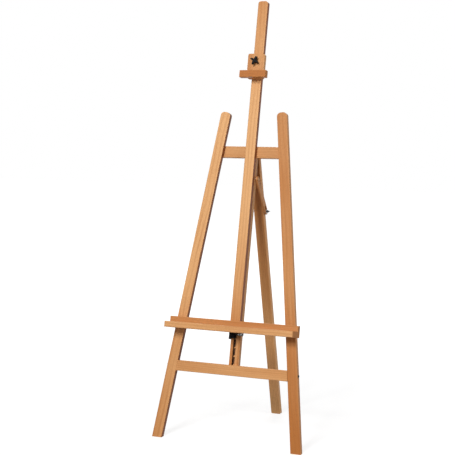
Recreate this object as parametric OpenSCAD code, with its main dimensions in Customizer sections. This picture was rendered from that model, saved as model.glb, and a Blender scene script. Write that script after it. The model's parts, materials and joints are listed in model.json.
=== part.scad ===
// A-frame artist easel: two splayed front legs, a fixed centre rail with a ratchet rack, a mast that
// slides on the rail and carries the tray, a sliding top clamp, and a hinged rear leg with a slotted stay.
// The leaning front frame is drawn upright: x across, y behind the front faces of the legs, z up the frame.

/* [Frame] */
// Lean of the front frame from the vertical, degrees
lean = 12.4; // [8:0.1:16]
// Half distance between the leg centre lines on the floor
foot_half = 282; // [220:1:340]
// Half distance between the leg centre lines at their tops
top_half = 114.4; // [90:0.1:150]
// Height of the leg tops, up the frame
leg_top = 1254; // [1180:1:1510]
// Width of the standard bar
bar_w = 40; // [34:0.5:48]
// Thickness of the standard bar
bar_t = 20; // [18:0.5:24]
// Rounding of the long edges of the bars
edge_r = 2.5; // [1:0.1:4]
// Corner radius of the leg tops
leg_round = 16; // [6:0.5:17]

/* [Crossbars] */
// Underside of the lower crossbar, up the frame
lower_z = 256.4; // [180:0.1:300]
// Height of the lower crossbar
lower_h = 40; // [34:0.5:48]
// Underside of the upper crossbar, up the frame
upper_z = 1081.3; // [1040:0.1:1130]
// Height of the upper crossbar
upper_h = 44; // [40:0.5:56]
// How far the upper crossbar runs past the centre lines of the legs
upper_over = 7.5; // [2:0.5:11]
// Distance of the upper crossbar screws inside the centre lines of the legs
upper_screw_in = 6.5; // [4:0.5:10]

/* [Rail and rack] */
// Width of the deep groove that the pawl swings into
groove_w = 10.5; // [9:0.5:12]
// Distance of the groove's right edge from the middle of the rail
groove_at = 2.5; // [1:0.5:3]
// Depth of the deep groove
groove_d = 11; // [10:0.5:12]
// Width of the shallow rebate that seats the rack
rebate_w = 10; // [9.5:0.5:11]
// Depth of that rebate
rebate_d = 4.4; // [4.2:0.1:5]
// Thickness of the rack strip
rack_t = 4; // [3:0.1:4.2]
// Distance from tooth to tooth
pitch = 32; // [28:0.5:36]
// Room between the rack and the upper crossbar, which the last tooth keeps clear
rack_room = 110; // [20:1:300]
// How far the teeth reach across the groove
tooth_w = 7.5; // [5:0.5:8.5]
// Height of the sloping upper side of a tooth
tooth_rise = 8; // [5:0.5:9]
// Clearance of the rack in its groove and rebate
rack_gap = 0.4; // [0.2:0.1:0.8]

/* [Mast] */
// Top of the mast, up the frame
mast_top = 1686; // [1600:1:1800]
// Underside of the mast and the tray, up the frame
tray_z = 417; // [410:0.5:440]
// Corner radius of the mast top
mast_round = 11; // [4:0.5:16]
// Running gap between the mast and what it slides past
slide_gap = 0.4; // [0.3:0.05:0.8]
// Width of the neck of the guide slot
neck_w = 10; // [8:0.5:12]
// Width of the head of the guide slot
slot_w = 20; // [16:0.5:22]
// Depth of the neck, and of the head behind it
slot_step = 5; // [4:0.5:5.5]
// Top end of the guide slot, up the frame
slot_top = 1196; // [1190:1:1240]

/* [Tray] */
// Half length of the tray
tray_half = 260; // [200:1:320]
// Height of the tray's back board
board_h = 44; // [38:0.5:56]
// Depth of the shelf in front of the back board
shelf_d = 52.5; // [40:0.5:70]
// Thickness of the shelf
shelf_h = 22.5; // [18:0.5:26]
// Corner radius of the shelf's front corners
shelf_round = 8; // [3:0.5:14]

/* [Ratchet] */
// Sheet thickness of the carriage
sheet = 1.5; // [1:0.1:1.6]
// Gap between the carriage and the wood it wraps
carriage_gap = 0.3; // [0.2:0.05:0.6]
// How far the carriage hangs below the tray
carriage_drop = 25; // [24:0.5:30]
// Height of the carriage
carriage_h = 55; // [50:0.5:60]
// How much shorter the carriage hangs on the right than on the left
carriage_cut = 15; // [0:0.5:15]
// Radius of the pawl's pin
pin_r = 2; // [1.5:0.1:2.2]
// Angle that the pawl swings through from released to engaged, degrees
pawl_swing = 18; // [16:0.5:19]
// Radius of the round thumb pad
pad_r = 8.5; // [6:0.5:10]

/* [Clamp] */
// Underside of the clamp block, up the frame
clamp_z = 1380.2; // [1360:0.1:1480]
// Width of the clamp block
clamp_w = 68; // [62:0.5:80]
// Height of the clamp block
clamp_h = 95.5; // [90:0.1:120]
// Corner radius of the clamp block
clamp_round = 8; // [2:0.5:12]
// Height of the ledge's underside over the block's underside
ledge_up = 0; // [0:0.1:10]
// Half length of the ledge
ledge_half = 53; // [44:0.5:70]
// Height of the ledge
ledge_h = 27; // [20:0.5:32]
// Depth of the ledge
ledge_d = 23.4; // [16:0.1:30]
// Height of the knob's axis over the block's underside
knob_up = 65.8; // [60:0.1:72]
// Radius of the knob over its points
knob_r = 18; // [15:0.5:22]
// Thickness of the knob
knob_t = 18; // [15:0.5:22]
// Height of the knob's neck
neck_h = 7; // [3:0.5:9]
// Radius of the knob's stud
stud_r = 4; // [3:0.5:5]

/* [Rear leg] */
// Opening angle between the rear leg and the front frame, degrees
open_angle = 24.8; // [18:0.1:30]
// Height of the hinge axis over the underside of the upper crossbar
hinge_up = 6.7; // [6:0.1:9]
// Radius of the hinge knuckle
knuckle_r = 2.9; // [2.6:0.1:3.1]
// Width of the hinge
hinge_w = 36; // [30:1:38]
// Length of the hinge leaf on the crossbar
leaf_h = 30; // [26:1:34]
// Thickness of the hinge leaves
leaf_t = 1.4; // [1:0.1:1.4]
// Radius of the foot corners
foot_round = 5; // [2:0.5:8]

/* [Stay] */
// Distance of the stay's pivot below the upper crossbar
stay_drop = 78; // [70:0.5:90]
// Distance of the stay's bolt from the hinge axis, down the rear leg
stay_bolt_at = 218; // [200:1:235]
// Width of the stay
stay_w = 20; // [18:0.5:26]
// Thickness of the stay
stay_t = 7; // [5:0.5:9]
// Thickness of the washers between the stay and the wood
stay_gap = 2.2; // [2.2:0.1:3]
// Radius of the stay's bolt and pivot screw
bolt_r = 3; // [2.5:0.1:3.5]
// Room between the bolt and each side of the slot
slot_room = 1.8; // [1.7:0.1:2.2]
// Radius of the wing nut over its wings
wing_r = 11; // [9:0.5:14]
// Height of the wing nut over its wings
wing_h = 10; // [9:0.5:13]
// Turn of the wings from upright, degrees
wing_turn = 78; // [0:1:90]

/* [Hidden] */
$fn = 48;

fit = 0.05;                 // radial room of a screw or a pin in its hole
clamp_gap = 0.2;            // running gap of the clamp block in front of the mast
eps = 0.02;                 // lets a cut run just past a face
far = 3000;                 // larger than the easel

splay = atan((foot_half - top_half) / leg_top);
leg_length = leg_top / cos(splay);
function leg_x(z) = foot_half - z * tan(splay);
upper_leg_x = leg_x(upper_z + upper_h / 2);
upper_half = upper_leg_x + upper_over;
upper_screw_x = upper_leg_x - upper_screw_in;
rail_y = bar_t;             // front face of the rail, and of the upper crossbar
rail_back = 2 * bar_t;
rail_h = upper_z - lower_z;
mast_y = -slide_gap;        // front face of the mast
mast_back = mast_y + bar_t;
board_y = mast_y - bar_t;
carriage_z = tray_z - carriage_drop;
rack_end = 4;               // length of the rack below its first tooth
lower_teeth = floor((carriage_z - lower_z - rack_end - 3) / pitch);
first_tooth = carriage_z - lower_teeth * pitch - 0.1;
teeth = floor((upper_z - rack_room - first_tooth) / pitch);
rack_from = first_tooth - rack_end;
rack_to = first_tooth + teeth * pitch;
rack_back = rail_y + rebate_d;
rebate_to = groove_at + rebate_w;
carriage_in = bar_w / 2 + carriage_gap;
carriage_out = carriage_in + sheet;
hub_r = pin_r + 2.2;
pin_y = 13;                 // pawl pin, behind the front faces of the legs
pad_y = 12.4;               // back of the thumb pad, in front of the pin
pin_z = tray_z - hub_r - 0.4;
pad_x = -7;
clamp_y = mast_y - clamp_gap; // back face of the clamp block
block_y = clamp_y - bar_t;  // front face of the clamp block
knob_z = clamp_z + knob_up;
knob_turn = 62.5;           // angle of the knob's first point, degrees
hinge_y = rail_back + knuckle_r + 0.1;
hinge_z = upper_z + hinge_up;
leg_front = -0.4;           // front face of the rear leg, from the hinge axis
leg_end = -knuckle_r - 0.2; // top end of the rear leg, from the hinge axis
hinge_pin_r = 1.4;
stay_y = 34;                // stay's pivot, behind the front faces of the legs
stay_z = upper_z - stay_drop;
stay_x = bar_w / 2 + stay_gap;
bolt_q = leg_front + bar_t / 2;

// the stay's bolt, seen from the stay's pivot, with the rear leg at an angle to the frame
function bolt_y(a) = hinge_y - stay_y + stay_bolt_at * sin(a) + bolt_q * cos(a);
function bolt_z(a) = hinge_z - stay_z - stay_bolt_at * cos(a) + bolt_q * sin(a);
function bolt_far(a) = sqrt(bolt_y(a) ^ 2 + bolt_z(a) ^ 2);
stay_angle = atan2(bolt_y(open_angle), -bolt_z(open_angle));

// the point of the rear foot that lies farthest back, which sets the origin midway between the feet
hinge_height = hinge_z * cos(lean) - hinge_y * sin(lean);
hinge_depth = hinge_z * sin(lean) + hinge_y * cos(lean);
rear_slope = open_angle - lean;
rear_foot = hinge_depth + (leg_front + bar_t) / cos(rear_slope) + hinge_height * tan(rear_slope);

// ---- helpers ----

module in_frame() {
    translate([0, -rear_foot / 2, 0]) rotate([-lean, 0, 0]) children();
}

module in_rear_leg() {
    in_frame() translate([0, hinge_y, hinge_z]) rotate([open_angle, 0, 0]) children();
}

module in_leg(side) {
    in_frame() mirror([side < 0 ? 1 : 0, 0, 0])
        translate([foot_half, 0, 0]) rotate([0, -splay, 0]) children();
}

module in_stay() {
    in_frame() translate([stay_x, stay_y, stay_z]) rotate([stay_angle, 0, 0]) children();
}

// keeps what stands over the floor
module over_floor() {
    intersection() {
        children();
        translate([-far / 2, -far / 2, 0]) cube([far, far, far]);
    }
}

// a rectangle with rounded corners, centred on x, from y = 0
module rounded(w, d, r) {
    translate([-w / 2 + r, 0]) square([w - 2 * r, d]);
    translate([-w / 2, r]) square([w, d - 2 * r]);
    for (x = [-w / 2 + r, w / 2 - r], y = [r, d - r]) translate([x, y]) circle(r);
}

// a bar that stands up from z = 0, with its front face at y = 0
module bar(w, d, length) {
    linear_extrude(length) rounded(w, d, edge_r);
}

// a bar that lies across the easel
module crosswise(half, h, d) {
    translate([-half, 0, h / 2]) rotate([0, 90, 0]) bar(h, d, 2 * half);
}

// an x-z outline given a thickness from y = 0
module slab(d) {
    translate([0, d, 0]) rotate([90, 0, 0]) linear_extrude(d) children();
}

// a bar with its upper corners rounded across its face
module round_top_bar(w, d, from, to, r) {
    intersection() {
        translate([0, 0, from]) bar(w, d, to - from);
        slab(d) translate([0, from - w]) rounded(w, to - from + w, r);
    }
}

// a countersunk screw that enters along +z; more widens it into its hole
module flat_screw(length, r, more = 0) {
    head = 2 * r + more;
    translate([0, 0, more > 0 ? -eps : 0]) cylinder(h = r + 0.2, r1 = head, r2 = r + more);
    cylinder(h = length + more, r = r + more);
}

// the cross recess of a countersunk screw
module recess(r) {
    for (turn = [0, 90]) rotate(turn) translate([-r, -r / 5, -eps]) cube([2 * r, r / 2.5, r * 0.6]);
}

module steel_screw(length, r) {
    color("silver") difference() {
        flat_screw(length, r);
        recess(r);
    }
}

// ---- places of the fasteners ----

module at_crossbar_screws() {
    for (x = [-upper_screw_x, upper_screw_x], z = [-12, 12])
        translate([x, rail_back, upper_z + upper_h / 2 + z]) rotate([90, 0, 0]) children();
}

module at_leg_bolt(side) {
    in_leg(side) translate([bar_w / 2, bar_t / 2, (lower_z + lower_h / 2) / cos(splay)])
        rotate([0, -90, 0]) children();
}

module at_rail_foot_screws() {
    for (x = [-14.5, 15.5]) translate([x, rail_back, lower_z + lower_h / 2])
        rotate([90, 0, 0]) children();
}

module at_rail_top_screws() {
    for (x = [-6, 6]) translate([x, rail_back - 5, upper_z + upper_h]) rotate([180, 0, 0]) children();
}

module at_rack_screws() {
    inset = 20;
    step = (rack_to - rack_from - 2 * inset) / (rack_screw_count - 1);
    for (k = [0 : rack_screw_count - 1])
        translate([rebate_to - rack_screw_in, rack_back - rack_t, rack_from + inset + k * step])
            rotate([-90, 0, 0]) children();
}

module at_guide_screws() {
    for (z = [-10, 10]) translate([0, mast_back - 2 * slot_step + slide_gap, upper_z + upper_h / 2 + z])
        rotate([-90, 0, 0]) children();
}

module at_frame_leaf_screws() {
    for (x = [-12.5, 12.5], z = [12, 24]) translate([x, rail_back + leaf_t, hinge_z + z])
        rotate([90, 0, 0]) children();
}

module at_leg_leaf_screws() {
    for (x = [-11, 11]) translate([x, bar_t / 2, leg_end + leaf_t]) rotate([180, 0, 0]) children();
}

module at_tray_screws() {
    for (x = [-tray_screw_x, tray_screw_x], z = [42, 61]) translate([x, mast_back, carriage_z + z])
        rotate([90, 0, 0]) children();
}

module at_shelf_screws() {
    for (x = [-220, -110, 110, 220]) translate([x, mast_y, tray_z + shelf_h / 2])
        rotate([90, 0, 0]) children();
}

module at_carriage_screws() {
    for (side = [0, 1], z = [36, 48]) mirror([side, 0, 0])
        translate([carriage_out, mast_y + 5, carriage_z + z]) rotate([0, -90, 0]) children();
}

module at_ledge_screws() {
    for (x = [-22, 22]) translate([x, clamp_y, clamp_z + ledge_up + ledge_h / 2]) rotate([90, 0, 0]) children();
}

module at_strap_screws() {
    for (x = [-strap_screw_x, strap_screw_x], z = [-6, 6]) translate([x, clamp_y + sheet, knob_z + z])
        rotate([90, 0, 0]) children();
}

screw_r = 2;
small_r = 1.5;
insert_h = 10;
insert_r = stud_r + 2.6;
crossbar_screw = 34;
foot_screw = 34;
top_screw = 74;
rack_screw = 12;
rack_screw_count = 6;
rack_screw_in = 4.5;        // from the edge of the rebate
guide_screw = 22;
leaf_screw = 14;
leg_leaf_screw = 22;
tray_screw = 32;
tray_screw_x = (slot_w + bar_w) / 4 - 0.4; // in the cheek beside the guide slot
shelf_screw = 48;
ledge_screw = 36;
strap_screw = 12;
strap_in = bar_w / 2 + slide_gap; // inside of the strap
strap_screw_x = strap_in + sheet + 5.1;
carriage_screw = 11;
leg_bolt = 74;
pivot_in = 16;              // how far the stay's pivot screw goes into the rail

// ---- front frame ----

module leg(side) {
    color("peru") difference() {
        over_floor() in_leg(side)
            round_top_bar(bar_w, bar_t, -bar_w, leg_length, leg_round);
        in_frame() at_crossbar_screws() flat_screw(crossbar_screw, screw_r, fit);
        at_leg_bolt(side) pan_bolt(leg_bolt, bolt_r, fit);
    }
}

module left_leg() {
    leg(-1);
}

module right_leg() {
    leg(1);
}

// a bolt with a low round head outside its seat
module pan_bolt(length, r, more = 0) {
    translate([0, 0, -2.2 - more]) cylinder(h = 2.2 + more, r = 1.7 * r + more);
    cylinder(h = length + more, r = r + more);
}

module leg_bolts() {
    color("dimgray") for (side = [-1, 1]) at_leg_bolt(side) difference() {
        pan_bolt(leg_bolt, bolt_r);
        translate([0, 0, -2.2 - eps]) cylinder(h = 1.6, r = bolt_r * 0.7, $fn = 6);
    }
}

module upper_crossbar() {
    color("peru") in_frame() difference() {
        translate([0, rail_y, upper_z]) crosswise(upper_half, upper_h, bar_t);
        at_crossbar_screws() flat_screw(crossbar_screw, screw_r, fit);
        at_rail_top_screws() flat_screw(top_screw, screw_r, fit);
        at_guide_screws() flat_screw(guide_screw, small_r, fit);
        at_frame_leaf_screws() flat_screw(leaf_screw, small_r, fit);
    }
}

module lower_crossbar() {
    bottom = foot_half - lower_z * tan(splay) - bar_w / 2 / cos(splay);
    top = bottom - lower_h * tan(splay);
    color("peru") difference() {
        in_frame() difference() {
            intersection() {
                translate([0, 0, lower_z]) crosswise(bottom + 1, lower_h, bar_t);
                slab(bar_t) polygon([[-bottom, lower_z], [bottom, lower_z],
                    [top, lower_z + lower_h], [-top, lower_z + lower_h]]);
            }
            at_rail_foot_screws() flat_screw(foot_screw, screw_r, fit);
        }
        for (side = [-1, 1]) at_leg_bolt(side) cylinder(h = leg_bolt + fit, r = bolt_r + fit);
    }
}

module crossbar_screws() {
    in_frame() at_crossbar_screws() steel_screw(crossbar_screw, screw_r);
}

module rail_screws() {
    in_frame() {
        at_rail_foot_screws() steel_screw(foot_screw, screw_r);
        at_rail_top_screws() steel_screw(top_screw, screw_r);
    }
}

module centre_rail() {
    color("sienna") in_frame() difference() {
        translate([0, rail_y, lower_z]) bar(bar_w, bar_t, rail_h);
        translate([groove_at - groove_w, rail_y - eps, lower_z - 1])
            cube([groove_w, groove_d + eps, rail_h + 2]);
        translate([groove_at - eps, rail_y - eps, lower_z - 1])
            cube([rebate_w + eps, rebate_d + eps, rail_h + 2]);
        at_rail_foot_screws() flat_screw(foot_screw, screw_r, fit);
        at_rail_top_screws() flat_screw(top_screw, screw_r, fit);
        at_rack_screws() flat_screw(rack_screw, small_r, fit);
        translate([stay_x, stay_y, stay_z]) rotate([0, -90, 0])
            cylinder(h = stay_gap + pivot_in + fit, r = bolt_r + fit);
    }
}

// teeth point across the groove, flat below and sloping above
module ratchet_rack() {
    root = groove_at + rack_gap;
    tip = groove_at - tooth_w;
    edge = rebate_to - rack_gap;
    saw = [for (k = [0 : teeth - 1], p = [0, 1, 2]) let (z = first_tooth + k * pitch)
        p == 0 ? [root, z] : p == 1 ? [tip, z] : [root, z + tooth_rise]];
    color("burlywood") in_frame() difference() {
        translate([0, rack_back - rack_t, 0]) slab(rack_t)
            polygon(concat([[edge, rack_to], [edge, rack_from], [root, rack_from]], saw, [[root, rack_to]]));
        at_rack_screws() flat_screw(rack_screw, small_r, fit);
    }
}

module rack_screws() {
    in_frame() at_rack_screws() steel_screw(rack_screw, small_r);
}

// a tee that the slotted back of the mast slides over
module mast_guide() {
    head_y = mast_back - 2 * slot_step + slide_gap;
    color("black") in_frame() difference() {
        translate([0, 0, upper_z + 2]) linear_extrude(upper_h - 4) {
            translate([-slot_w / 2 + slide_gap, head_y])
                square([slot_w - 2 * slide_gap, slot_step - 2 * slide_gap]);
            translate([-neck_w / 2 + slide_gap, head_y])
                square([neck_w - 2 * slide_gap, rail_y - head_y]);
        }
        at_guide_screws() flat_screw(guide_screw, small_r, fit);
    }
}

module guide_screws() {
    in_frame() at_guide_screws() steel_screw(guide_screw, small_r);
}

// ---- hinge ----

knuckle_end = hinge_w / 2;
knuckle_mid = hinge_w / 6;
knuckle_gap = 0.15;

// a cylinder about the hinge axis, from x = a to x = b
module about_axis(a, b, r) {
    translate([a, 0, 0]) rotate([0, 90, 0]) cylinder(h = b - a, r = r);
}

module hinge_frame_leaf() {
    color("silver") in_frame() difference() {
        union() {
            translate([-knuckle_end, rail_back, hinge_z]) cube([hinge_w, leaf_t, leaf_h]);
            translate([0, hinge_y, hinge_z]) {
                about_axis(-knuckle_end, -knuckle_mid - knuckle_gap, knuckle_r);
                about_axis(knuckle_mid + knuckle_gap, knuckle_end, knuckle_r);
            }
        }
        translate([0, hinge_y, hinge_z]) {
            about_axis(-knuckle_mid - knuckle_gap, knuckle_mid + knuckle_gap, knuckle_r + 0.3);
            about_axis(-knuckle_end - 1, knuckle_end + 1, hinge_pin_r + fit);
        }
        at_frame_leaf_screws() flat_screw(leaf_screw, small_r, fit);
    }
}

module hinge_frame_screws() {
    in_frame() at_frame_leaf_screws() steel_screw(leaf_screw, small_r);
}

module hinge_pin() {
    color("gray") in_frame() translate([0, hinge_y, hinge_z])
        about_axis(-knuckle_end - 0.5, knuckle_end + 0.5, hinge_pin_r);
}

module hinge_leg_leaf() {
    color("silver") in_rear_leg() difference() {
        union() {
            translate([-knuckle_end, 0, leg_end]) cube([hinge_w, bar_t - 2.5, leaf_t]);
            about_axis(-knuckle_mid + knuckle_gap, knuckle_mid - knuckle_gap, knuckle_r);
        }
        for (side = [0, 1]) mirror([side, 0, 0])
            about_axis(knuckle_mid - knuckle_gap, knuckle_end + 1, knuckle_r + 0.3);
        about_axis(-knuckle_end, knuckle_end, hinge_pin_r + fit);
        at_leg_leaf_screws() flat_screw(leg_leaf_screw, small_r, fit);
    }
}

module hinge_leg_screws() {
    in_rear_leg() at_leg_leaf_screws() steel_screw(leg_leaf_screw, small_r);
}

// ---- rear leg and stay ----

// a bar from the hinge leaf down to the floor, cut flat there
module rear_leg() {
    length = (hinge_height + bar_w) / cos(rear_slope);
    color("sienna") difference() {
        over_floor() in_rear_leg() translate([0, leg_front, leg_end - length]) bar(bar_w, bar_t, length);
        in_rear_leg() at_leg_leaf_screws() flat_screw(leg_leaf_screw, small_r, fit);
        in_rear_leg() at_stay_bolt() cylinder(h = bar_w + 2, r = bolt_r + fit);
        for (side = [0, 1]) mirror([side, 0, 0]) foot_corner();
    }
}

// the corner that is planed off each side of the rear foot
module foot_corner() {
    translate([bar_w / 2, rear_foot / 2 - bar_t, 0]) rotate([0, 45, 0])
        translate([-foot_round / 2, -bar_t, -foot_round / 2]) cube([foot_round, 3 * bar_t, foot_round]);
}

// on the bolt's axis at the left side of the rear leg, pointing right
module at_stay_bolt() {
    translate([-bar_w / 2 - 1, bolt_q, -stay_bolt_at]) rotate([0, 90, 0]) children();
}

washer_t = 1.5;
wing_hub = 5.5;             // height of the wing nut's hub
bolt_end = stay_x + stay_t + washer_t + wing_hub + 1.5;

// a coach bolt with a domed head on the left of the leg
module stay_bolt() {
    color("dimgray") in_rear_leg() translate([-bar_w / 2, bolt_q, -stay_bolt_at]) rotate([0, 90, 0]) {
        cylinder(h = bar_w / 2 + bolt_end, r = bolt_r);
        intersection() {
            translate([0, 0, 6.5]) sphere(r = 10);
            translate([-10, -10, -10]) cube([20, 20, 10]);
        }
    }
}

module ring(t, r, hole) {
    difference() {
        cylinder(h = t, r = r);
        translate([0, 0, -1]) cylinder(h = t + 2, r = hole);
    }
}

module leg_spacer() {
    color("silver") in_rear_leg() translate([bar_w / 2, bolt_q, -stay_bolt_at]) rotate([0, 90, 0])
        ring(stay_gap - 0.1, 8, bolt_r + fit);
}

module stay_spacer() {
    color("silver") in_frame() translate([bar_w / 2, stay_y, stay_z]) rotate([0, 90, 0])
        ring(stay_gap - 0.1, 6, bolt_r + fit);
}

module stay_washer() {
    color("silver") in_rear_leg() translate([stay_x + stay_t + 0.1, bolt_q, -stay_bolt_at])
        rotate([0, 90, 0]) ring(washer_t - 0.1, 8, bolt_r + fit);
}

module stay_pivot_screw() {
    color("darkgoldenrod") in_frame() translate([stay_x + stay_t + 0.2, stay_y, stay_z]) rotate([0, -90, 0])
        difference() {
            union() {
                translate([0, 0, -3]) cylinder(h = 3, r1 = 4.5, r2 = 6);
                cylinder(h = stay_t + 0.2 + stay_gap + pivot_in, r = bolt_r);
            }
            translate([-6, -0.6, -3 - eps]) cube([12, 1.2, 1.2]);
        }
}

// a slat with round ends, and a slot that lets the bolt slide as the leg folds
module stay() {
    reach = bolt_far(open_angle);
    folded = bolt_far(0) - slot_room;
    slot_r = bolt_r + slot_room;
    over = stay_w / 2;
    color("burlywood") in_stay() rotate([0, 90, 0]) difference() {
        linear_extrude(stay_t) {
            circle(over);
            translate([0, -over]) square([reach + 3, stay_w]);
            translate([reach + 3, 0]) circle(over);
        }
        translate([0, 0, -1]) cylinder(h = stay_t + 2, r = bolt_r + fit);
        translate([0, 0, -1]) linear_extrude(stay_t + 2) {
            translate([folded, 0]) circle(slot_r);
            translate([folded, -slot_r]) square([reach - folded, 2 * slot_r]);
            translate([reach, 0]) circle(slot_r);
        }
    }
}

wing_t = 2.2;
wing_tip = 2.6;

// a small hub with two ears
module wing_nut() {
    color("dimgray") in_rear_leg() translate([stay_x + stay_t + washer_t + 0.1, bolt_q, -stay_bolt_at])
        rotate([0, 90, 0]) rotate(wing_turn) difference() {
            union() {
                cylinder(h = wing_hub, r1 = 5, r2 = 4.4);
                for (side = [0, 1]) mirror([side, 0, 0]) translate([0, wing_t / 2, 0]) rotate([90, 0, 0])
                    linear_extrude(wing_t) {
                        polygon([[2.5, 0.4], [4.6, 0.4], [wing_r - 0.4, wing_h - 4],
                            [wing_r - 5, wing_h - 1.2], [2.5, wing_hub - 0.5]]);
                        translate([wing_r - wing_tip, wing_h - wing_tip]) circle(wing_tip);
                    }
            }
            translate([0, 0, -1]) cylinder(h = wing_h + 2, r = bolt_r + fit);
        }
}

// ---- mast and tray ----

module mast() {
    color("burlywood") in_frame() difference() {
        translate([0, mast_y, 0]) round_top_bar(bar_w, bar_t, tray_z, mast_top, mast_round);
        translate([-neck_w / 2, mast_back - slot_step - eps, tray_z - 1])
            cube([neck_w, slot_step + 1, slot_top - tray_z]);
        translate([-slot_w / 2, mast_back - 2 * slot_step, tray_z - 1])
            cube([slot_w, slot_step, slot_top - tray_z]);
        at_tray_screws() flat_screw(tray_screw, screw_r, fit);
        at_carriage_screws() cylinder(h = carriage_screw + fit, r = screw_r + fit);
    }
}

module tray_board() {
    color("peru") in_frame() difference() {
        translate([0, board_y, tray_z]) crosswise(tray_half, board_h, bar_t);
        at_tray_screws() flat_screw(tray_screw, screw_r, fit);
        at_shelf_screws() flat_screw(shelf_screw, screw_r, fit);
    }
}

module tray_shelf() {
    color("burlywood") in_frame() difference() {
        intersection() {
            translate([0, board_y - shelf_d, tray_z]) crosswise(tray_half, shelf_h, shelf_d);
            translate([0, board_y - shelf_d, tray_z])
                linear_extrude(shelf_h) rounded(2 * tray_half, shelf_d + shelf_round + 1, shelf_round);
        }
        at_shelf_screws() flat_screw(shelf_screw, screw_r, fit);
    }
}

module tray_screws() {
    in_frame() at_tray_screws() steel_screw(tray_screw, screw_r);
}

module shelf_screws() {
    in_frame() at_shelf_screws() steel_screw(shelf_screw, screw_r);
}

// ---- ratchet ----

// a steel channel round the sides and back of the rail
module ratchet_carriage() {
    back = rail_back + carriage_gap;
    front = 4;
    color("black") in_frame() difference() {
        translate([0, 0, carriage_z]) linear_extrude(carriage_h) difference() {
            translate([0, front - edge_r]) rounded(2 * carriage_out, back + sheet - front + edge_r, edge_r);
            translate([-carriage_in, front - 2 * edge_r])
                square([2 * carriage_in, back - front + 2 * edge_r]);
            translate([-far / 2, front - far]) square(far);
        }
        translate([0, pin_y, pin_z]) about_axis(-far / 2, far / 2, pin_r + fit);
        at_carriage_screws() cylinder(h = 2 * sheet, r = screw_r + fit);
        translate([0, -far / 2, carriage_z - far + carriage_cut]) cube(far);
    }
}

module carriage_screws() {
    color("silver") in_frame() at_carriage_screws() {
        translate([0, 0, -1.6]) cylinder(h = 1.6, r = 3.6);
        cylinder(h = carriage_screw, r = screw_r);
    }
}

module pawl_pin() {
    color("silver") in_frame() translate([0, pin_y, pin_z]) {
        about_axis(-carriage_out - 0.8, carriage_out + 0.8, pin_r);
        about_axis(carriage_out + 0.1, carriage_out + 1.3, pin_r + 1);
        about_axis(-carriage_out - 1.3, -carriage_out - 0.1, pin_r + 1);
    }
}

spring_from = 10.5;
spring_turns = 6;
wire_r = 0.5;
coil_r = pin_r + wire_r + 0.2;

// a round wire wound about the pin, as rings of points joined into a tube
module pawl_spring() {
    steps = 14 * spring_turns;
    sides = 8;
    rings = [for (k = [0 : steps], s = [0 : sides - 1]) let (
            a = 360 * spring_turns * k / steps,
            b = 360 * s / sides,
            r = coil_r + wire_r * cos(b),
            x = spring_from + 1.3 * spring_turns * k / steps + wire_r * sin(b))
        [x, r * cos(a), r * sin(a)]];
    skin = [for (k = [0 : steps - 1], s = [0 : sides - 1]) let (n = (s + 1) % sides)
        [sides * k + s, sides * k + n, sides * (k + 1) + n, sides * (k + 1) + s]];
    first = [for (s = [0 : sides - 1]) sides - 1 - s];
    last = [for (s = [0 : sides - 1]) sides * steps + s];
    color("silver") in_frame() translate([0, pin_y, pin_z]) polyhedron(rings, concat(skin, [first, last]));
}

skirt_to = 2;               // right edge of the pawl's front skirt
nose_from = groove_at - groove_w + 1;
nose_to = nose_from + 6;

// hub, nose, front skirt and the arm of the thumb pad; drawn engaged, then swung clear of the rack;
// the outlines are measured from the pin's axis
module pawl() {
    hub_half = carriage_in - 0.8;
    color("black") in_frame() translate([0, pin_y, pin_z]) rotate([-pawl_swing, 0, 0]) difference() {
        union() {
            about_axis(-hub_half, spring_from - 1, hub_r);
            pawl_part(nose_from, nose_to) polygon([[-3, -2], [6.8, -12.6], [11, -12.6], [9.5, -8], [3, 2]]);
            rotate([pawl_swing, 0, 0]) {
                pawl_part(1 - hub_half, skirt_to) polygon([[-5.5, -2], [-4, -2], [-4, -15], [-5.5, -15]]);
                pawl_part(2 - hub_half, skirt_to - 1) polygon([[-5, -3], [-5, 0], [0, 1.8], [0, -3]]);
                pawl_part(pad_x - 3, pad_x + 3) polygon([[-5, -4], [-5, -12], [-pad_y, -12], [-pad_y, -4]]);
            }
        }
        about_axis(-far / 2, far / 2, pin_r + fit);
    }
}

// a y-z outline given a width from x = a to x = b
module pawl_part(a, b) {
    translate([a, 0, 0]) rotate([90, 0, 90]) linear_extrude(b - a) children();
}

module thumb_pad() {
    color("dimgray") in_frame() translate([pad_x, pin_y - pad_y, pin_z - 8]) rotate([90, 0, 0]) {
        cylinder(h = 1.6, r = pad_r);
        translate([0, 0, 1.6]) cylinder(h = 1.4, r1 = pad_r, r2 = pad_r - 1.4);
    }
}

// ---- clamp ----

module clamp_block() {
    color("burlywood") in_frame() difference() {
        intersection() {
            translate([0, block_y, clamp_z]) bar(clamp_w, bar_t, clamp_h);
            translate([0, block_y, clamp_z]) slab(bar_t) rounded(clamp_w, clamp_h, clamp_round);
        }
        translate([0, clamp_y, knob_z]) rotate([90, 0, 0]) {
            translate([0, 0, 4]) cylinder(h = bar_t, r = stud_r + 0.5);
            translate([0, 0, -1]) cylinder(h = insert_h + 2.6, r = insert_r);
        }
        at_ledge_screws() flat_screw(ledge_screw, screw_r, fit);
        at_strap_screws() cylinder(h = strap_screw + fit, r = small_r + fit);
    }
}

module clamp_ledge() {
    color("peru") in_frame() difference() {
        translate([0, block_y - ledge_d, clamp_z + ledge_up]) crosswise(ledge_half, ledge_h, ledge_d);
        at_ledge_screws() flat_screw(ledge_screw, screw_r, fit);
    }
}

module ledge_screws() {
    in_frame() at_ledge_screws() steel_screw(ledge_screw, screw_r);
}

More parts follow.
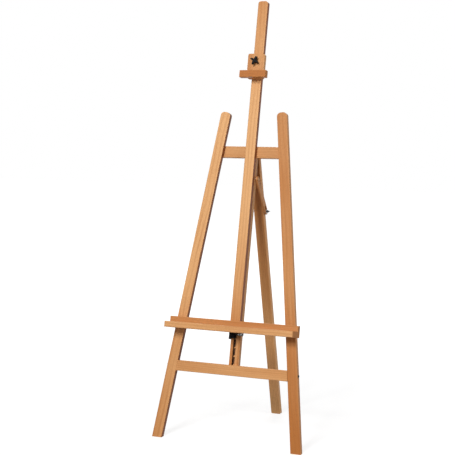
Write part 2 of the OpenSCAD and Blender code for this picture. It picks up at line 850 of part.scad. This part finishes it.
// a steel strap behind the mast, with its ends turned out on the back of the block
module clamp_strap() {
    back = mast_back + slide_gap;
    color("silver") in_frame() difference() {
        translate([0, 0, knob_z - 12]) linear_extrude(24) {
            for (side = [0, 1]) mirror([side, 0]) {
                translate([strap_in, clamp_y]) square([clamp_w / 2 - 1 - strap_in, sheet]);
                translate([strap_in, clamp_y]) square([sheet, back + sheet - clamp_y]);
            }
            translate([-strap_in - sheet, back]) square([2 * (strap_in + sheet), sheet]);
        }
        at_strap_screws() translate([0, 0, -1]) cylinder(h = strap_screw, r = small_r + fit);
    }
}

module strap_screws() {
    color("silver") in_frame() at_strap_screws() {
        translate([0, 0, -1.3]) cylinder(h = 1.3, r = 2.8);
        cylinder(h = strap_screw, r = small_r);
    }
}

module knob_insert() {
    color("gold") in_frame() translate([0, clamp_y - 1.4, knob_z]) rotate([90, 0, 0])
        ring(insert_h, insert_r - fit, stud_r + fit);
}

module pressure_pad() {
    color("saddlebrown") in_frame() translate([0, mast_y - fit, knob_z]) rotate([90, 0, 0])
        cylinder(h = pad_t, r = stud_r + 2);
}

knob_gap = 1.5;
pad_t = 1.2;
stud_in = 6;                // how far the stud goes into the knob

module knob_stud() {
    from = mast_y - fit - pad_t;
    color("silver") in_frame() translate([0, from, knob_z]) rotate([90, 0, 0])
        cylinder(h = from - block_y + knob_gap + stud_in, r = stud_r);
}

// four points with hollow sides, on a neck
module clamp_knob() {
    color("black") in_frame() translate([0, block_y - knob_gap, knob_z]) rotate([90, 0, 0]) difference() {
        union() {
            cylinder(h = neck_h + 0.5, r = 7);
            translate([0, 0, neck_h]) linear_extrude(knob_t - neck_h) rotate(knob_turn) difference() {
                circle(knob_r);
                for (k = [0 : 3]) rotate(45 + 90 * k) translate([knob_r * 1.14, 0]) circle(knob_r * 0.72);
            }
        }
        translate([0, 0, -1]) cylinder(h = 1 + stud_in + fit, r = stud_r + fit);
    }
}

left_leg();
right_leg();
upper_crossbar();
lower_crossbar();
centre_rail();
ratchet_rack();
rack_screws();
crossbar_screws();
leg_bolts();
rail_screws();
mast_guide();
guide_screws();
hinge_frame_leaf();
hinge_frame_screws();
hinge_pin();
stay_pivot_screw();
stay_spacer();
mast();
tray_board();
tray_shelf();
tray_screws();
shelf_screws();
ratchet_carriage();
carriage_screws();
pawl_pin();
pawl_spring();
pawl();
thumb_pad();
clamp_block();
clamp_ledge();
ledge_screws();
clamp_strap();
strap_screws();
knob_insert();
pressure_pad();
knob_stud();
clamp_knob();
rear_leg();
hinge_leg_leaf();
hinge_leg_screws();
stay_bolt();
leg_spacer();
stay();
stay_washer();
wing_nut();
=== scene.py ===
import json
from math import cos, pi, radians, sin

import bpy
import numpy as np
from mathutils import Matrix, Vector


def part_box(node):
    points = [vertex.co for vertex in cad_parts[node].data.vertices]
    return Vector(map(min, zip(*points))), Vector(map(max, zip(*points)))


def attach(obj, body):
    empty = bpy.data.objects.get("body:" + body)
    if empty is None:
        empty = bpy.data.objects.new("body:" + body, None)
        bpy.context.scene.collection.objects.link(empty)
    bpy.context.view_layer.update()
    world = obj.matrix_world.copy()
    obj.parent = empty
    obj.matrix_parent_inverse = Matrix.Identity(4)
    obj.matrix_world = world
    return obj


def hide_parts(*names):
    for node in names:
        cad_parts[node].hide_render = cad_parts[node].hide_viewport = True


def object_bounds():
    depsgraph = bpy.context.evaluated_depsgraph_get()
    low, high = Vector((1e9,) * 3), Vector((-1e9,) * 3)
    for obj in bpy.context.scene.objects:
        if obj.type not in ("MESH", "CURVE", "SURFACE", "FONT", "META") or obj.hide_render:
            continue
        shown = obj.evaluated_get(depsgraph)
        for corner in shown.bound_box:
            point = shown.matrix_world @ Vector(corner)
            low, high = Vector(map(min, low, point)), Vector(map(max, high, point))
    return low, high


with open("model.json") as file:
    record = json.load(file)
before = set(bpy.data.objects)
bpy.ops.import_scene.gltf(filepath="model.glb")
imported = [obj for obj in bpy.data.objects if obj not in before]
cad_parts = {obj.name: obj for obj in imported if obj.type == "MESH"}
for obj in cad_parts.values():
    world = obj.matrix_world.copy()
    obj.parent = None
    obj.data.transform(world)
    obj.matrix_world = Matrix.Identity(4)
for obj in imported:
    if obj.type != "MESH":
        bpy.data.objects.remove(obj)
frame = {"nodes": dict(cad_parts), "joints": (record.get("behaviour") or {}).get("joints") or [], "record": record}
cad_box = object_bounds()
nodes = frame["nodes"]
joints = {joint["name"]: joint for joint in frame["joints"]}

# directions of the leaning front frame: across it, up along it, and back through it
ACROSS = Vector((1, 0, 0))
UP = Vector(joints["mast_slide"]["axis"]).normalized()
BACK = Vector(joints["knob_turn"]["axis"]).normalized()
MM = 0.001


# ---- shader writing ----

class Value:
    """A shader socket that joins in Python arithmetic: each operation adds one node to its recipe."""

    def __init__(self, recipe, socket):
        self.recipe = recipe
        self.socket = socket

    def math(self, operation, *operands):
        return self.recipe.add("ShaderNodeMath", {"operation": operation}, dict(enumerate(operands)))

    def __add__(self, other):
        return self.math("ADD", self, other)

    def __sub__(self, other):
        return self.math("SUBTRACT", self, other)

    def __rsub__(self, other):
        return self.math("SUBTRACT", other, self)

    def __mul__(self, other):
        return self.math("MULTIPLY", self, other)

    __radd__ = __add__
    __rmul__ = __mul__

    def size(self):
        """The value without its sign."""
        return self.math("ABSOLUTE", self)

    def wave(self):
        """A smooth wave from 0 to 1 and back, once for each unit of the value."""
        return 0.5 + 0.5 * self.math("SINE", self * (2 * pi))

    def ramp(self, low, high):
        """Rises smoothly from 0 at low to 1 at high; low may be the larger."""
        limits = {"Value": self, "From Min": low, "From Max": high}
        return self.recipe.add("ShaderNodeMapRange", {"interpolation_type": "SMOOTHSTEP"}, limits)


class Recipe:
    """The nodes of one material or of the world."""

    def __init__(self, owner):
        owner.use_nodes = True
        self.tree = owner.node_tree
        self.tree.nodes.clear()

    def add(self, kind, settings, inputs, output=0):
        """Adds a node: its settings first, then its sockets' values or links. Gives one of its outputs."""
        made = self.tree.nodes.new(kind)
        for name, setting in settings.items():
            setattr(made, name, setting)
        for key, value in inputs.items():
            if isinstance(value, Value):
                self.tree.links.new(value.socket, made.inputs[key])
            else:
                made.inputs[key].default_value = value
        if len(made.outputs) > 0:
            return Value(self, made.outputs[output])

    def place(self):
        """The point on the object."""
        return self.add("ShaderNodeTexCoord", {}, {}, "Object")

    def along(self, place, direction, middle):
        """How far a point lies from the middle along a direction."""
        dot = self.add("ShaderNodeVectorMath", {"operation": "DOT_PRODUCT"},
                       {0: place, 1: tuple(direction)}, "Value")
        return dot - float(np.dot(middle, direction))

    def facing(self, direction):
        """How squarely the surface looks along a direction, either way: 0 to 1."""
        normal = self.add("ShaderNodeNewGeometry", {}, {}, "Normal")
        dot = self.add("ShaderNodeVectorMath", {"operation": "DOT_PRODUCT"},
                       {0: normal, 1: tuple(direction)}, "Value")
        return dot.size()

    def point(self, x, y, z):
        return self.add("ShaderNodeCombineXYZ", {}, {0: x, 1: y, 2: z})

    def noise(self, place, scale=1.0, detail=2.0, roughness=0.5):
        """Smooth noise about 0.5."""
        inputs = {"Vector": place, "Scale": scale, "Detail": detail, "Roughness": roughness}
        return self.add("ShaderNodeTexNoise", {}, inputs, 0)

    def cells(self, place, scale):
        """Distance to the nearest of many scattered points."""
        return self.add("ShaderNodeTexVoronoi", {}, {"Vector": place, "Scale": scale}, "Distance")

    def mix(self, factor, first, second, blend="MIX"):
        """Two colours mixed; colours are linear red, green and blue."""
        sockets = {0: factor, 6: colour(first), 7: colour(second)}  # 6 and 7 are the colour inputs
        return self.add("ShaderNodeMix", {"data_type": "RGBA", "blend_type": blend}, sockets, 2)

    def bump(self, height, strength, distance):
        sockets = {"Height": height, "Strength": strength, "Distance": distance}
        return self.add("ShaderNodeBump", {}, sockets)

    def surface(self, **inputs):
        """The shader, with its socket names written with underscores, joined to the output."""
        sockets = {name.replace("_", " "): value for name, value in inputs.items()}
        self.output(self.add("ShaderNodeBsdfPrincipled", {}, sockets))

    def output(self, shader, kind="ShaderNodeOutputMaterial"):
        self.add(kind, {}, {"Surface": shader})


def colour(value):
    """A colour with its alpha, or the link that carries one."""
    return value if isinstance(value, Value) else (*value, 1.0)


def new_recipe(name):
    material = bpy.data.materials.new(name)
    return material, Recipe(material)


def paint(thing, material):
    thing.data.materials.clear()
    thing.data.materials.append(material)


# ---- wood ----

PALE = (0.85, 0.48, 0.212)
RICH = (0.47, 0.165, 0.036)
LATEWOOD = (0.38, 0.120, 0.025)
FLECK = (0.26, 0.085, 0.024)
# painted shade for the narrow sides of the bars
PAINTED_SIDE_SHADE = (0.22, 0.052, 0.008)
END_GRAIN = (0.62, 0.27, 0.095)
# painted shade for the inside of the rail's groove
PAINTED_GROOVE_SHADE = (0.035, 0.012, 0.006)

# marks in a metre of bar, along it and across it
MARKS = {
    "warp": (2.2, 9),
    "latewood": (6, 30),
    "fibre": (22, 900),
    "streak": (3.5, 160),
    "fleck": (190, 1700),
    "patch": (3.1, 14),
}
RINGS_PER_METRE = 150
ARCS_PER_METRE = 330
SEED_STEP = 0.731
FIRST_SLANT, SLANT_STEP = 20, 47
RUB_FROM, RUB_TO = 4 * MM, 0.5 * MM


def grain_frame(node):
    """Middle, half sizes and directions of a bar, in the order length, width, thickness.

    The bar's faces mostly look across its length, so of the three main directions of all its face
    normals, each weighted by its face's area, the weakest is the length and the strongest the thickness.
    """
    mesh = nodes[node].data
    normals = np.empty(3 * len(mesh.polygons))
    areas = np.empty(len(mesh.polygons))
    corners = np.empty(3 * len(mesh.vertices))
    mesh.polygons.foreach_get("normal", normals)
    mesh.polygons.foreach_get("area", areas)
    mesh.vertices.foreach_get("co", corners)
    normals = normals.reshape(-1, 3)
    directions = np.linalg.eigh((normals * areas[:, None]).T @ normals)[1].T
    signs = np.sign(directions[np.arange(3), np.abs(directions).argmax(axis=1)])
    directions = directions * signs[:, None]
    spread = corners.reshape(-1, 3) @ directions.T
    middle = (spread.min(axis=0) + spread.max(axis=0)) / 2 @ directions
    return middle, np.ptp(spread, axis=0) / 2, directions


def beech(node, seed, tone, fade, bow, side_shading):
    """Varnished beech: growth lines, long fibres and short ray flecks along the bar, rings on its ends.

    tone goes from 0, pale, to 1, rich; fade is how much richer the bar's low end is than its high end, and bow
    how much richer both ends are than the middle: both are partly the wood's own tone and partly painted light
    and shade along the bar. The side setting is painted shade on the narrow sides, how far they darken, or
    below 0 painted light, how far they pale.
    """
    middle, half, (length, width, thickness) = grain_frame(node)
    material, wood = new_recipe("beech_" + node)
    place = wood.place()
    along = wood.along(place, length, middle)
    across = wood.along(place, width, middle)
    through = wood.along(place, thickness, middle)
    start = along + SEED_STEP * seed

    def marks(kind, **settings):
        """Noise drawn out along the bar, as fine as the kind of mark."""
        lengthwise, crosswise = MARKS[kind]
        spot = wood.point(start * lengthwise, across * crosswise, through * crosswise)
        return wood.noise(spot, **settings)

    warp = marks("warp")
    slant = radians(FIRST_SLANT + SLANT_STEP * seed)
    plane = across * (RINGS_PER_METRE * cos(slant)) + through * (RINGS_PER_METRE * sin(slant))
    latewood = marks("latewood") * (plane + warp * 2.6).wave().ramp(0.45, 1.0)
    fibre = marks("fibre", detail=3.0, roughness=0.6)
    streak = marks("streak")
    fleck = marks("fleck", detail=0.0).ramp(0.63, 0.74)
    patch = marks("patch", detail=1.0)

    high = 1.0 if length[2] >= 0 else -1.0
    # fade and bow are partly the wood's own tone and partly painted light and shade: ends darkened where the light
    # falls off, and the rear leg's negative fade paints light on its low end where the frame's shade lifts
    depth = tone - along * (fade * high / (2 * half[0])) + along * along * (bow / half[0] ** 2)
    depth = depth + (patch - 0.5) * 0.7 + (streak - 0.5) * 0.55
    tint = wood.mix(depth.ramp(-0.35, 1.5), PALE, RICH)
    tint = wood.mix(latewood * 0.42, tint, LATEWOOD)
    tint = wood.mix((fibre - 0.5) * 0.5 + 0.06, tint, LATEWOOD)
    tint = wood.mix(fleck * 0.38, tint, FLECK)

    # painted shade on the narrow sides where the side setting is above 0, painted light where it is below 0
    on_side = wood.facing(width).ramp(0.55, 0.95)
    tint = wood.mix(on_side * abs(side_shading), tint, PAINTED_SIDE_SHADE if side_shading > 0 else PALE)
    on_end = wood.facing(length).ramp(0.75, 0.95)
    arcs = wood.point(across + 0.04, through - 0.11, 0.0)
    radius = wood.add("ShaderNodeVectorMath", {"operation": "LENGTH"}, {0: arcs}, "Value")
    end_rings = (radius * ARCS_PER_METRE + warp * 0.8).wave()
    end_tint = wood.mix(end_rings * 0.35 + fibre * 0.25, END_GRAIN, FLECK)
    tint = wood.mix(on_end, tint, end_tint)

    if node == "centre_rail":
        # painted shade in the groove that the pawl runs in, from just under its mouth to its floor
        depth_in = through + half[2]
        in_groove = across.size().ramp(0.0150, 0.0135)
        groove_shade = in_groove * depth_in.ramp(0.0008, 0.003) * depth_in.ramp(0.015, 0.013)
        tint = wood.mix(groove_shade * 0.9, tint, PAINTED_GROOVE_SHADE)
    rubbed = (across.size().ramp(half[1] - RUB_FROM, half[1] - RUB_TO)
              * through.size().ramp(half[2] - RUB_FROM, half[2] - RUB_TO))
    tint = wood.mix(rubbed * 0.14, tint, PALE)
    relief = fibre * 0.6 + latewood * 0.5 - fleck * 0.5
    wood.surface(Base_Color=tint, Roughness=0.46 + (fibre - 0.5) * 0.18 - rubbed * 0.05 + on_end * 0.22,
                 Specular_IOR_Level=0.16, Coat_Weight=0.05 - on_end * 0.04, Coat_Roughness=0.3,
                 Normal=wood.bump(relief, 0.35, 0.00012))
    return material


# each wooden bar's tone, fade, bow and side setting, as beech() explains them; their order sets each bar's grain;
# the fade and bow carry painted light along with the wood's own tone, the side setting is painted shade above 0
# and painted light below 0
BARS = {
    "left_leg": (0.26, 0.75, 0.15, 0.9),
    "right_leg": (0.84, 0.45, 0.40, -0.2),
    "upper_crossbar": (0.62, 0.0, 0.0, 0.0),
    "lower_crossbar": (0.52, 0.0, 0.0, 0.0),
    "centre_rail": (0.90, 0.0, 0.0, -0.4),
    "mast": (0.08, 0.10, 0.70, 0.95),
    "tray_board": (0.88, 0.0, 0.0, 0.0),
    "tray_shelf": (0.42, 0.0, 0.0, 0.0),
    "clamp_block": (0.55, 0.0, 0.0, -0.3),
    "clamp_ledge": (1.40, 0.0, 0.0, 0.0),
    "rear_leg": (0.55, -0.9, 0.0, -0.45),
    "stay": (0.8, 0.0, 0.0, 0.3),
    "ratchet_rack": (0.5, 0.0, 0.0, 0.0),
}


# ---- metal, plastic and leather ----

def zinc_steel(name):
    """Zinc-plated steel: a dull bright metal with cloudy crystals and fine rolling lines."""
    material, steel = new_recipe(name)
    place = steel.place()
    cloud = steel.noise(place, scale=140, detail=3.0)
    grain = steel.noise(place, scale=2600, detail=2.0)
    stain = steel.noise(place, scale=38, detail=4.0).ramp(0.55, 0.75)
    tint = steel.mix(cloud, (0.42, 0.42, 0.43), (0.66, 0.66, 0.65))
    tint = steel.mix(stain * 0.3, tint, (0.22, 0.19, 0.16))
    steel.surface(Base_Color=tint, Metallic=1.0 - stain * 0.2, Roughness=0.28 + cloud * 0.16 + stain * 0.15,
                  Normal=steel.bump(grain, 0.12, 0.00005))
    return material


def black_steel(name):
    """Blackened steel: nearly black, a little brown where the finish is thin, oily sheen."""
    material, steel = new_recipe(name)
    place = steel.place()
    thin = steel.noise(place, scale=160, detail=4.0).ramp(0.5, 0.8)
    grain = steel.noise(place, scale=1900, detail=2.0)
    tint = steel.mix(thin * 0.6, (0.012, 0.012, 0.013), (0.06, 0.045, 0.035))
    steel.surface(Base_Color=tint, Metallic=0.3, Roughness=0.44 + thin * 0.18, Specular_IOR_Level=0.25,
                  Normal=steel.bump(grain, 0.15, 0.00005))
    return material


def black_plastic(name):
    """Moulded black plastic with a fine spark texture and faint handling polish."""
    material, plastic = new_recipe(name)
    place = plastic.place()
    spark = plastic.noise(place, scale=2400, detail=2.0)
    polish = plastic.noise(place, scale=70, detail=2.0)
    tint = plastic.mix(polish, (0.004, 0.0035, 0.0035), (0.010, 0.009, 0.009))
    plastic.surface(Base_Color=tint, Roughness=0.45 + polish * 0.2, Specular_IOR_Level=0.10,
                    Normal=plastic.bump(spark, 0.25, 0.00006))
    return material


def turned_brass(name):
    """Turned brass, slightly tarnished."""
    material, brass = new_recipe(name)
    tarnish = brass.noise(brass.place(), scale=300, detail=3.0)
    tint = brass.mix(tarnish, (0.46, 0.27, 0.12), (0.24, 0.12, 0.06))
    brass.surface(Base_Color=tint, Metallic=1.0, Roughness=0.24 + tarnish * 0.2)
    return material


def tanned_leather(name):
    """Vegetable-tanned leather with a pebbled grain."""
    material, leather = new_recipe(name)
    place = leather.place()
    pebble = leather.cells(place, 900)
    tint = leather.mix(leather.noise(place, scale=120), (0.26, 0.13, 0.06), (0.38, 0.20, 0.10))
    leather.surface(Base_Color=tint, Roughness=0.55 + pebble * 0.2,
                    Normal=leather.bump(pebble, 0.4, 0.0002))
    return material


FINISHES = {
    "zinc_steel": zinc_steel("zinc_steel"),
    "black_steel": black_steel("black_steel"),
    "black_plastic": black_plastic("black_plastic"),
    "brass": turned_brass("turned_brass"),
    "leather": tanned_leather("tanned_leather"),
}


def finish_nodes():
    """Gives each wooden bar its own grain, and every other piece the finish of its slot."""
    slots = {part["node"]: part["material_slot"] for part in frame["record"]["subparts"]}
    seeds = {bar: seed for seed, bar in enumerate(BARS, start=1)}
    for name, node in nodes.items():
        if name in BARS:
            paint(node, beech(name, seeds[name], *BARS[name]))
        else:
            paint(node, FINISHES[slots[name]])


# ---- new pieces ----

def put_mesh(name, points, faces, body, slot, replaced):
    """Makes a piece of points and faces that rides on a body in place of a CAD node."""
    mesh = bpy.data.meshes.new(name)
    mesh.from_pydata(points.reshape(-1, 3).tolist(), [], faces)
    mesh.polygons.foreach_set("use_smooth", np.ones(len(mesh.polygons), bool))
    mesh.update()
    piece = bpy.data.objects.new(name, mesh)
    bpy.context.scene.collection.objects.link(piece)
    paint(piece, FINISHES[slot])
    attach(piece, body)
    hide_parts(replaced)
    return piece


def ring_faces(count, around, first=0):
    """Four-sided faces between neighbouring rings of points, each ring closed on itself."""
    ring, step = np.meshgrid(np.arange(count - 1), np.arange(around), indexing="ij")
    here = first + ring * around + step
    beside = first + ring * around + (step + 1) % around
    return np.stack([here, beside, beside + around, here + around], axis=-1).reshape(-1, 4).tolist()


def closed_shell(rings):
    """Points and faces of rings joined one to the next, with a point that closes each end."""
    count, around = rings.shape[:2]
    points = np.concatenate([rings.reshape(-1, 3), rings[[0, -1]].mean(axis=1)])
    faces = ring_faces(count, around)
    step = np.arange(around)
    after = (step + 1) % around
    low, high = count * around, count * around + 1
    last = (count - 1) * around
    faces += np.stack([after, step, np.full(around, low)], axis=-1).tolist()
    faces += np.stack([last + step, last + after, np.full(around, high)], axis=-1).tolist()
    return points, faces


def frame_points(origin, x, y, z, right, over, out):
    """Points from an origin along three directions."""
    grids = np.broadcast_arrays(x, y, z)
    return np.asarray(origin) + sum(g[..., None] * np.asarray(d) for g, d in zip(grids, (right, over, out)))


def middle_of(node):
    low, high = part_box(node)
    return (low + high) / 2


def joint_place(joint):
    return Vector(joints[joint]["pos_m"])


KNOB_TURN = 62.5
KNOB_GAP = 1.5 * MM
NECK = 7.0 * MM
KNOB_FACE = 16.8 * MM
POINT_R, HOLLOW_R = 18 * MM, 7.2 * MM
CROWN = 1.1 * MM
DISH, DISH_R = 0.9 * MM, 4.2 * MM


def star_knob():
    """Four-pointed knob with hollow sides and a crowned face.

    The rim's radius swings between its points and its hollows with the cosine of four times the angle.
    From back to front each ring's share of that radius follows a squared-off half circle, so the edges are
    round, and the face rises a little towards the middle around a shallow dish.
    """
    back = NECK - 0.1 * MM
    turn = np.linspace(0, 2 * pi, 192, endpoint=False)
    swing = np.linspace(-pi / 2, pi / 2, 42)[1:-1]
    share = np.cos(swing) ** 0.32
    level = back + (KNOB_FACE - back) * (0.5 + 0.5 * np.sign(swing) * np.abs(np.sin(swing)) ** 0.62)
    rim = HOLLOW_R + (POINT_R - HOLLOW_R) * (0.5 + 0.5 * np.cos(4 * turn)) ** 1.35
    radius = share[:, None] * rim[None, :]
    on_face = (swing > 0)[:, None]
    crown = CROWN * (1 - (radius / POINT_R) ** 2)
    dish = DISH * np.exp(-(radius / DISH_R) ** 2)
    height = level[:, None] + on_face * (crown - dish)
    angle = turn + radians(KNOB_TURN)
    hub = joint_place("knob_turn") - BACK * KNOB_GAP
    rings = frame_points(hub, radius * np.cos(angle), radius * np.sin(angle), height, ACROSS, UP, -BACK)
    neck = lathe([(0.0, 6.4), (0.5, 6.9), (6.2, 6.6), (7.6, 6.9)], hub, ACROSS, UP, -BACK)
    points, faces = join_meshes(closed_shell(rings), neck)
    return put_mesh("star_knob", points, faces, "clamp_knob", "black_plastic", "clamp_knob")


def lathe(profile, origin, right, over, out, around=64):
    """A turned solid: each profile entry is a height and a radius in millimetres."""
    height, radius = np.array(profile).T * MM
    turn = np.linspace(0, 2 * pi, around, endpoint=False)
    rings = frame_points(origin, radius[:, None] * np.cos(turn), radius[:, None] * np.sin(turn),
                         height[:, None], right, over, out)
    return closed_shell(rings)


def join_meshes(*meshes):
    """Several sets of points and faces as one."""
    points, faces, first = [], [], 0
    for part_points, part_faces in meshes:
        points.append(part_points)
        faces += [[first + corner for corner in face] for face in part_faces]
        first += len(part_points)
    return np.concatenate(points), faces


def thumb_button():
    """Round thumb pad: a turned disc whose face is ribbed by a cosine of the distance from its middle."""
    centre = middle_of("thumb_pad") + BACK * (1.5 * MM)
    radius = np.linspace(7.6, 0.4, 60)
    face = 2.55 + 0.28 * np.cos(2 * pi * radius / 1.7) * np.clip((7.2 - radius) / 0.6, 0, 1)
    rim = [(0.0, 8.0), (0.35, 8.45), (1.5, 8.5), (2.1, 8.3), (2.45, 7.9)]
    points, faces = lathe(rim + list(zip(face, radius)), centre, ACROSS, UP, -BACK, around=72)
    return put_mesh("thumb_button", points, faces, "pawl", "black_plastic", "thumb_pad")


def coil_spring():
    """Torsion spring: a round wire carried along a helix about the pawl's pin."""
    low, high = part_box("pawl_spring")
    pin = joint_place("pawl_swing")
    wire_r, turns = 0.5 * MM, 6
    coil_r = (high.z - low.z) / 2 - wire_r
    span = (high.x - low.x) - 2 * wire_r
    s = np.linspace(0, 1, 400)
    angle = 2 * pi * turns * s
    across, over = coil_r * np.cos(angle), coil_r * np.sin(angle)
    path = np.stack([low.x + wire_r + span * s, pin.y + across, pin.z + over], axis=1)
    tangent = np.gradient(path, axis=0)
    tangent /= np.linalg.norm(tangent, axis=1)[:, None]
    outward = np.stack([0 * s, np.cos(angle), np.sin(angle)], axis=1)
    sideways = np.cross(tangent, outward)
    turn = np.linspace(0, 2 * pi, 12, endpoint=False)[None, :, None]
    round_wire = np.cos(turn) * outward[:, None] + np.sin(turn) * sideways[:, None]
    rings = path[:, None] + wire_r * round_wire
    points, faces = closed_shell(rings)
    return put_mesh("coil_spring", points, faces, "mast_carriage", "zinc_steel", "pawl_spring")


# ---- stage, lights and camera ----

FLOOR_HALF = 12.0
FLOOR_GLOW, FLOOR_SHADE, FLOOR_BOUNCE = 0.79, 0.34, 0.45
GLOW_FADES_FROM, GLOW_FADES_TO = 0.8, 2.4
AMBIENT = 0.08


def seen_directly(recipe):
    """1 for what the camera sees, straight, mirrored or through glass."""
    rays = [recipe.add("ShaderNodeLightPath", {}, {}, name)
            for name in ("Is Camera Ray", "Is Glossy Ray", "Is Transmission Ray")]
    return rays[0].math("MAXIMUM", rays[0], rays[1].math("MAXIMUM", rays[1], rays[2]))


def pale_floor():
    """A plain pale floor that reads as white and keeps a soft shadow, fading to pure white far off.

    Seen directly it glows and takes some of the lamps' light, so that a shadow shows; the light that it
    sends back to the easel is that of a plain matte floor.
    """
    corners = FLOOR_HALF * np.array([(-1, -1, 0), (1, -1, 0), (1, 1, 0), (-1, 1, 0)])
    mesh = bpy.data.meshes.new("floor")
    mesh.from_pydata(corners.tolist(), [], [(0, 1, 2, 3)])
    floor = bpy.data.objects.new("floor", mesh)
    bpy.context.scene.collection.objects.link(floor)
    material, recipe = new_recipe("pale_floor")
    away = recipe.add("ShaderNodeVectorMath", {"operation": "LENGTH"}, {0: recipe.place()}, "Value")
    strength = FLOOR_GLOW + (1 - FLOOR_GLOW) * away.ramp(GLOW_FADES_FROM, GLOW_FADES_TO)
    glow = recipe.add("ShaderNodeEmission", {}, {"Strength": strength})
    lit = recipe.add("ShaderNodeBsdfDiffuse", {}, {"Color": colour([FLOOR_SHADE] * 3)})
    shown = recipe.add("ShaderNodeAddShader", {}, {0: glow, 1: lit})
    matte = recipe.add("ShaderNodeBsdfDiffuse", {}, {"Color": colour([FLOOR_BOUNCE] * 3)})
    recipe.output(recipe.add("ShaderNodeMixShader", {}, {0: seen_directly(recipe), 1: matte, 2: shown}))
    paint(floor, material)


def white_world():
    world = bpy.data.worlds.new("white_world")
    bpy.context.scene.world = world
    recipe = Recipe(world)
    strength = AMBIENT + (1 - AMBIENT) * seen_directly(recipe)
    sky = recipe.add("ShaderNodeBackground", {}, {"Color": (1, 1, 1, 1), "Strength": strength})
    recipe.output(sky, "ShaderNodeOutputWorld")


def direction(azimuth, elevation):
    """Unit vector towards a place at an azimuth from the front, positive to the right, and an elevation."""
    a, e = radians(azimuth), radians(elevation)
    return Vector((sin(a) * cos(e), -cos(a) * cos(e), sin(e)))


def area_lamp(name, target, azimuth, elevation, distance, size, level):
    """A square lamp that lights a white surface facing it at the target to the given level."""
    lamp = bpy.data.lights.new(name, "AREA")
    lamp.size = size
    lamp.energy = level * pi * pi * distance ** 2
    holder = bpy.data.objects.new(name, lamp)
    towards = direction(azimuth, elevation)
    holder.location = target + towards * distance
    holder.rotation_euler = towards.to_track_quat("Z", "Y").to_euler()
    bpy.context.scene.collection.objects.link(holder)


def studio_camera():
    """A long lens at the height of the tray's edge, from the front and a little right."""
    camera = bpy.data.cameras.new("camera")
    camera.sensor_width = 36
    camera.lens = 97.61
    camera.shift_x = 0.0046
    camera.shift_y = -0.0025
    camera.clip_end = 60
    holder = bpy.data.objects.new("camera", camera)
    target = Vector((0.0051, cad_box[0].y, 0.8149))
    towards = direction(24.41, 5.96)
    holder.location = target + towards * 4.4768
    holder.rotation_euler = towards.to_track_quat("Z", "Y").to_euler()
    bpy.context.scene.collection.objects.link(holder)
    bpy.context.scene.camera = holder


finish_nodes()
star_knob()
thumb_button()
coil_spring()
pale_floor()
white_world()
middle = (cad_box[0] + cad_box[1]) / 2
area_lamp("key", middle, azimuth=-2, elevation=30, distance=8.0, size=2.6, level=0.83)
area_lamp("fill", middle, azimuth=82, elevation=22, distance=5.0, size=2.5, level=0.31)
area_lamp("back", middle, azimuth=200, elevation=32, distance=6.0, size=2.5, level=0.32)
studio_camera()
bpy.context.scene.view_settings.view_transform = "Standard"
